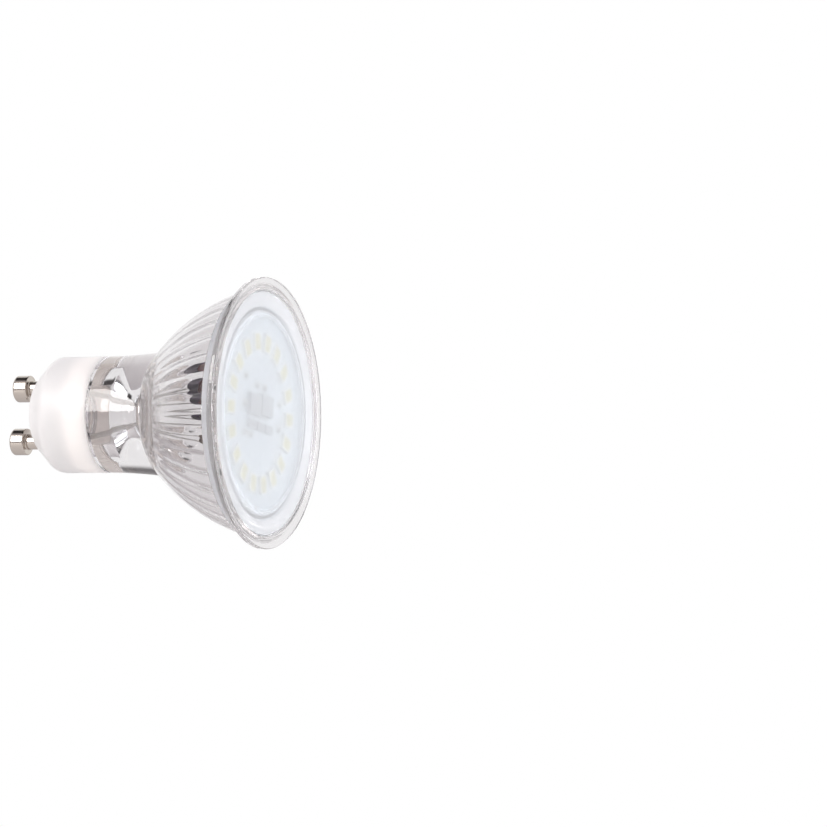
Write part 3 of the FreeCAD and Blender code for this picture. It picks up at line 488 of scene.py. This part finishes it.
# %% Diffuser
DIFFUSER_RADIUS, DIFFUSER_FRONT = 22.5, 44.8
SKIRT_RADIUS, SKIRT_WALL, BOARD_FRONT = 19.7, 0.9, 42.75
SKIRT_BORE = SKIRT_RADIUS - SKIRT_WALL
diffuser_corners = [(DIFFUSER_FRONT, 0), (DIFFUSER_FRONT, DIFFUSER_RADIUS, 0.25),
                    (SEAT, DIFFUSER_RADIUS, 0.1), (SEAT, SKIRT_RADIUS, 0.1),
                    (BOARD_FRONT, SKIRT_RADIUS, 0.1), (BOARD_FRONT, SKIRT_BORE, 0.1),
                    (SEAT, SKIRT_BORE, 0.1), (SEAT, 0)]
diffuser = lathe("frosted_disc", rounded(diffuser_corners), 384, closed_u=False)
dress(diffuser, frosted, "frosted_plastic", "diffuser")

# %% [markdown]
# ## Finishes of the inner parts
#
# Behind the frosted disc lies a white-lacquered board with small white light sources, each filled
# with a pale yellow phosphor, and behind the board stand the driver's parts. They are seen only
# through glass or frost, but they give the lamp its dark spots and its warm dots, so each still gets
# the gloss of its real material. The mouldings are lighter than real black epoxy, because the
# photograph shows only a faint pale cluster through the frost.
#
# Two finishes glow faintly, which the real parts don't. The cement stands for the light that a white
# cap lets through, and the board's edge is brightened to the pale strip of the photograph.

# %% Inner finishes
# Both values are strengths of painted glow: emission on parts that are no lamps.
CEMENT_PAINTED_GLOW, EDGE_PAINTED_GLOW = 0.36, 0.3
EDGE_START, EDGE_FULL = 19.5, 19.6    # radii between which the board's edge begins to glow

board_white, tree, surface = new_finish("white_solder_mask_with_painted_edge_glow", Roughness=0.35)
weave = grain(tree, 0.8)
mottle(tree, surface, weave.outputs["Fac"], "#E2EAF1", "#E9EFF4")
# Painted light: emission on the board's outer edge is a painted glow that brightens it to a pale strip.
tree.links.new(ramp(tree, axis_distance(tree), EDGE_START, EDGE_FULL, 0.0, EDGE_PAINTED_GLOW),
               surface.inputs["Emission Strength"])

package_white, tree, surface = new_finish("white_led_package", Roughness=0.4)
speckle = grain(tree, 0.4)
mottle(tree, surface, speckle.outputs["Fac"], "#F4F4F0", "#FBFAF6")

phosphor, tree, surface = new_finish("yellow_phosphor_in_silicone", Roughness=0.25)
grains = grain(tree, 0.1)
mottle(tree, surface, grains.outputs["Fac"], "#EBDF98", "#F3E8AE")

black_moulding, tree, surface = new_finish("black_epoxy_moulding", Roughness=0.5)
soot = grain(tree, 0.3)
mottle(tree, surface, soot.outputs["Fac"], "#B4B5B7", "#BFC0C2")

resistor_ceramic, tree, surface = new_finish("black_glazed_ceramic", Roughness=0.3)
glaze = grain(tree, 0.5)
mottle(tree, surface, glaze.outputs["Fac"], "#AEAEB0", "#BABABC")

black_sleeve, tree, surface = new_finish("shrunk_pvc_sleeve", Roughness=0.3, Specular_IOR_Level=0.3)
folds = grain(tree, 1.2)
mottle(tree, surface, folds.outputs["Fac"], "#1E0F2A", "#2E1A3C")

red_dip, tree, surface = new_finish("dark_red_epoxy_dip", Roughness=0.18, Specular_IOR_Level=0.3)
flow = grain(tree, 1.5)
mottle(tree, surface, flow.outputs["Fac"], "#3E060E", "#540A14")

brown_coat, tree, surface = new_finish("brown_cement_coat", Roughness=0.6)
dust = grain(tree, 0.4)
mottle(tree, surface, dust.outputs["Fac"], "#4F4036", "#65554A")

aluminium, tree, surface = new_finish("drawn_aluminium", Metallic=1.0, Roughness=0.3)
drawn = grain(tree, 0.3, stretch=(0.1, 1, 1))
mottle(tree, surface, drawn.outputs["Fac"], "#C8CACC", "#DCDEE0")

tin, tree, surface = new_finish("tinned_copper", Metallic=1.0, Roughness=0.28)
frosting = grain(tree, 0.3)
mottle(tree, surface, frosting.outputs["Fac"], "#C6C4C0", "#DAD8D4")

insulation, tree, surface = new_finish("white_silicone_insulation", Roughness=0.5)
talc = grain(tree, 0.6)
mottle(tree, surface, talc.outputs["Fac"], "#F6F4F1", "#FCFBF8")

# Painted light: the cement's emission is a painted glow for the light that the white cap lets through.
cement, tree, surface = new_finish("pale_lamp_cement_with_painted_glow", Roughness=0.85, Emission_Strength=CEMENT_PAINTED_GLOW,
                                   Emission_Color=linear("#F4EAE6"))
grit = grain(tree, 0.3, detail=4.0)
mottle(tree, surface, grit.outputs["Fac"], "#F3EFEA", "#FAF8F4")
relief(tree, surface, grit.outputs["Fac"], 0.05, strength=0.6)

silicone, tree, surface = new_finish("milky_silicone_bead", Roughness=0.3, IOR=1.41,
                                     Transmission_Weight=0.5)
skin = grain(tree, 0.7)
mottle(tree, surface, skin.outputs["Fac"], "#F2F3F2", "#F9FAF9")

# %% Finishes of the kept CAD nodes
coat(board_white, "led_board")
coat(package_white, *[f"led_package_{number:02d}" for number in range(1, 19)])
coat(phosphor, "led_phosphor")
coat(black_moulding, "rectifier_bridge", "driver_chip")
coat(resistor_ceramic, "chip_resistors")
coat(tin, "component_leads", "solder_joints")
coat(insulation, "lead_wire_upper", "lead_wire_lower")

# %% [markdown]
# ## Bead and cement
#
# Two rings join the lamp's main parts: a milky bead of silicone round the disc, and the cement
# between the cap and the glass. The bead keeps clear of glass and disc by a hair. The cement wets the
# glass, so its inner face reaches a little way in, which leaves no air between them.

# %% Silicone bead
BEAD_HEIGHT, BEAD_ROUND = 0.5, 0.03
bead = lathe("diffuser_bead_silicone", rounded([
    (SEAT, DIFFUSER_RADIUS + AIR), (SEAT + BEAD_HEIGHT, DIFFUSER_RADIUS + AIR, BEAD_ROUND),
    (SEAT + BEAD_HEIGHT, SEAT_RADIUS - AIR, BEAD_ROUND), (SEAT, SEAT_RADIUS - AIR)]), 384)
dress(bead, silicone, "clear_silicone", "diffuser_seal")

# %% Cement
CEMENT_MARGIN = 0.8               # kept back from the glass's rear end and from the cap's mouth
SKIN = 0.04                       # how far the ring reaches into the glass and stays off the cap
cement_rear, cement_front = GLASS_REAR + CEMENT_MARGIN, CAP_LENGTH - CEMENT_MARGIN
cement_ring = lathe("lamp_cement_ring", rounded([
    (cement_rear, SPIGOT_RADIUS - SKIN), (cement_rear, CAP_BORE - SKIN),
    (cement_front, CAP_BORE - SKIN), (cement_front, SPIGOT_RADIUS - SKIN)]), 192)
dress(cement_ring, cement, "cement", "neck_cement")

# %% [markdown]
# ## Parts behind the board
#
# Three parts stand behind the board and show through the bell as dark, bent images: an aluminium
# can in a black sleeve, a dark red dipped block and a small brown resistor. Can and resistor are
# turned shapes. The block is a box whose every edge is rounded. It reaches a little farther back
# than in the CAD, so that some of its red shows past the board's edge.

# %% Driver parts
CAN_RADIUS, CAN_LENGTH, CAN_PLACE = 3.85, 11.0, (0.5, 5.0)
CRIMP_HALF, CRIMP_DEPTH = 0.6, 0.35
PART_FOOT = BOARD_BACK - 0.4
can_rear = PART_FOOT - CAN_LENGTH
crimp = PART_FOOT - 1.6
can = lathe("capacitor_can_drawn", rounded([
    (can_rear, 0), (can_rear, CAN_RADIUS, 0.5), (crimp - CRIMP_HALF, CAN_RADIUS, 0.3),
    (crimp, CAN_RADIUS - CRIMP_DEPTH, 0.3), (crimp + CRIMP_HALF, CAN_RADIUS, 0.3),
    (PART_FOOT, CAN_RADIUS, 0.2), (PART_FOOT, 0)]), 96, *CAN_PLACE, closed_u=False)
dress(can, aluminium, "can_aluminium", "capacitor_can")

SLEEVE, LIP = 0.15, 0.7
sleeve = lathe("capacitor_sleeve_shrunk", rounded([
    (can_rear - SLEEVE, CAN_RADIUS - LIP), (can_rear - SLEEVE, CAN_RADIUS + SLEEVE, 0.4),
    (PART_FOOT + SLEEVE, CAN_RADIUS + SLEEVE, 0.3), (PART_FOOT + SLEEVE, CAN_RADIUS - LIP),
    (PART_FOOT, CAN_RADIUS - LIP), (PART_FOOT, CAN_RADIUS), (can_rear, CAN_RADIUS),
    (can_rear, CAN_RADIUS - LIP)]), 96, *CAN_PLACE)
dress(sleeve, black_sleeve, "black_sleeve", "capacitor_sleeve")

FUSE_RADIUS, FUSE_LENGTH, FUSE_ROUND, FUSE_PLACE = 1.3, 6.2, 0.4, (-5.6, -4.4)
fuse_rear = PART_FOOT - FUSE_LENGTH
fuse = lathe("fusible_resistor_coated", rounded([
    (fuse_rear, 0), (fuse_rear, FUSE_RADIUS, FUSE_ROUND), (PART_FOOT, FUSE_RADIUS, FUSE_ROUND),
    (PART_FOOT, 0)]), 64, *FUSE_PLACE, closed_u=False)
dress(fuse, brown_coat, "brown_coat", "fusible_resistor")


def rounded_block(name, low, high, radius, steps=24):
    """A box with rounded edges.

    Each direction n of a sphere's grid goes to sign(n) (half - radius) + radius n.
    """
    middle, half = (np.array(low) + np.array(high)) / 2, (np.array(high) - np.array(low)) / 2
    t = np.linspace(0, math.pi, steps)[:, None]
    p = (np.arange(2 * steps)[None, :] + 0.5) * math.pi / steps
    n = np.stack([np.cos(t) + 0 * p, np.sin(t) * np.cos(p), np.sin(t) * np.sin(p)], axis=-1)
    grid = middle + np.sign(n) * (half - radius) + radius * n
    grid[0], grid[-1] = middle + [half[0], 0, 0], middle - [half[0], 0, 0]
    return grid_piece(name, grid, closed_u=False)


FILM_ROUND, FILM_EXTRA = 0.8, 1.6     # the second is how much farther back the block reaches
low, high = (np.array(corner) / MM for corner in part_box("film_capacitor"))
low[0] -= FILM_EXTRA
film = rounded_block("film_capacitor_dipped", low, high, FILM_ROUND)
dress(film, red_dip, "dark_red_dip", "film_capacitor")

# %% [markdown]
# ## Floor, sky and lamps
#
# The photograph is a product shot on pure white. A long softbox stands at the front left, a little
# above the lamp: it draws the bright band along the pins and the neck. A square of soft light stands
# before the light face, and a small one, close in front of the rim, washes over the frosted disc.
#
# The camera sees plain white paper. Mirror and refracted rays see the same white wherever they go
# on behind the lamp. Towards the viewer they see a light grey room, and overhead a dark ceiling,
# which draw the flutes and the edges of the glass. Everything else is lit by an even light grey sky.
# A ray crosses many walls of glass here, so it is followed for more bounces than usual.

# %% Studio
scene = bpy.context.scene
scene.view_settings.view_transform = "Standard"
scene.cycles.max_bounces = scene.cycles.transmission_bounces = 48
scene.cycles.glossy_bounces, scene.cycles.diffuse_bounces = 24, 8

world = bpy.data.worlds.new("studio")
scene.world = world
world.use_nodes = True
tree = world.node_tree
tree.nodes.clear()
place = add_node(tree, "ShaderNodeTexCoord")
parts = add_node(tree, "ShaderNodeSeparateXYZ", links={"Vector": place.outputs["Generated"]})


def rise(axis, start, end):
    """Factor that climbs smoothly from 0 to 1 between two places on one axis of the sky's unit sphere."""
    return add_node(tree, "ShaderNodeMapRange", settings={"interpolation_type": "SMOOTHSTEP"},
                    values={"From Min": start, "From Max": end},
                    links={"Value": parts.outputs[axis]}).outputs["Result"]


def plain_sky(hex_code):
    """A sky of one colour at a strength of 1."""
    return add_node(tree, "ShaderNodeBackground",
                    values={"Color": linear(hex_code), "Strength": 1.0}).outputs["Background"]


def choose(factor, first, second):
    """The first sky where the factor is 0 and the second where it is 1."""
    return add_node(tree, "ShaderNodeMixShader", links={0: factor, 1: first, 2: second}).outputs["Shader"]


FRONT_END, BACK_START = -0.3, 0.1         # the grey room ends and the white far side begins
CEILING_START, CEILING_FULL = 0.78, 0.88
rays = add_node(tree, "ShaderNodeLightPath").outputs
walls = blend_colours(tree, rise("Y", FRONT_END, BACK_START), "#C2BDBF", "#FFFFFF")
room = add_node(tree, "ShaderNodeMix", settings={"data_type": "RGBA"},
                links={0: rise("Z", CEILING_START, CEILING_FULL), 6: walls})
room.inputs[7].default_value = linear("#2E2B2C")
studio = add_node(tree, "ShaderNodeBackground", values={"Strength": 1.0},
                  links={"Color": room.outputs[2]}).outputs["Background"]
shown = choose(rays["Is Glossy Ray"], plain_sky("#C8C3C7"), studio)
shown = choose(rays["Is Transmission Ray"], shown, studio)
shown = choose(rays["Is Camera Ray"], shown, plain_sky("#FFFFFF"))
add_node(tree, "ShaderNodeOutputWorld", links={"Surface": shown})

# %% Floor
FLOOR_HEIGHT, FLOOR_REACH = -0.2, 1.5
floor_mesh = bpy.data.meshes.new("studio_floor")
corner_signs = ((-1, -1), (1, -1), (1, 1), (-1, 1))
floor_mesh.from_pydata([(x * FLOOR_REACH, y * FLOOR_REACH, FLOOR_HEIGHT) for x, y in corner_signs], [],
                       [(0, 1, 2, 3)])
floor = bpy.data.objects.new("studio_floor", floor_mesh)
scene.collection.objects.link(floor)
paper_floor, tree, surface = new_finish("matt_white_paper", Base_Color=linear("#E9E8E6"), Roughness=0.9)
floor.data.materials.append(paper_floor)

# %% Lamps
def softbox(name, place, aim, width, height, radiance, colour):
    """A rectangular lamp at a place, facing another; its power is pi * area * radiance."""
    light = bpy.data.lights.new(name, "AREA")
    light.shape, light.size, light.size_y = "RECTANGLE", width, height
    light.energy, light.color = math.pi * width * height * radiance, linear(colour)[:3]
    lamp = bpy.data.objects.new(name, light)
    scene.collection.objects.link(lamp)
    lamp.location = Vector(place)
    lamp.rotation_mode = "QUATERNION"
    lamp.rotation_quaternion = (Vector(place) - Vector(aim)).to_track_quat("Z", "Y")
    lamp.visible_camera = False
    return lamp


softbox("key_softbox", (-0.316, -0.580, 0.213), (0.02, 0, 0), 0.18, 0.5, 9.0, "#FFFDFA")
fill = softbox("front_fill", (0.545, 0.0, 0.1), (0.045, 0, 0), 0.5, 0.5, 3.6, "#F7F9FC")
fill.visible_glossy = False
glare = softbox("side_glare", (0.095, 0.05, 0.01), (0.045, 0.015, 0), 0.04, 0.08, 2.4, "#F8FAFF")
glare.visible_transmission = glare.visible_glossy = False
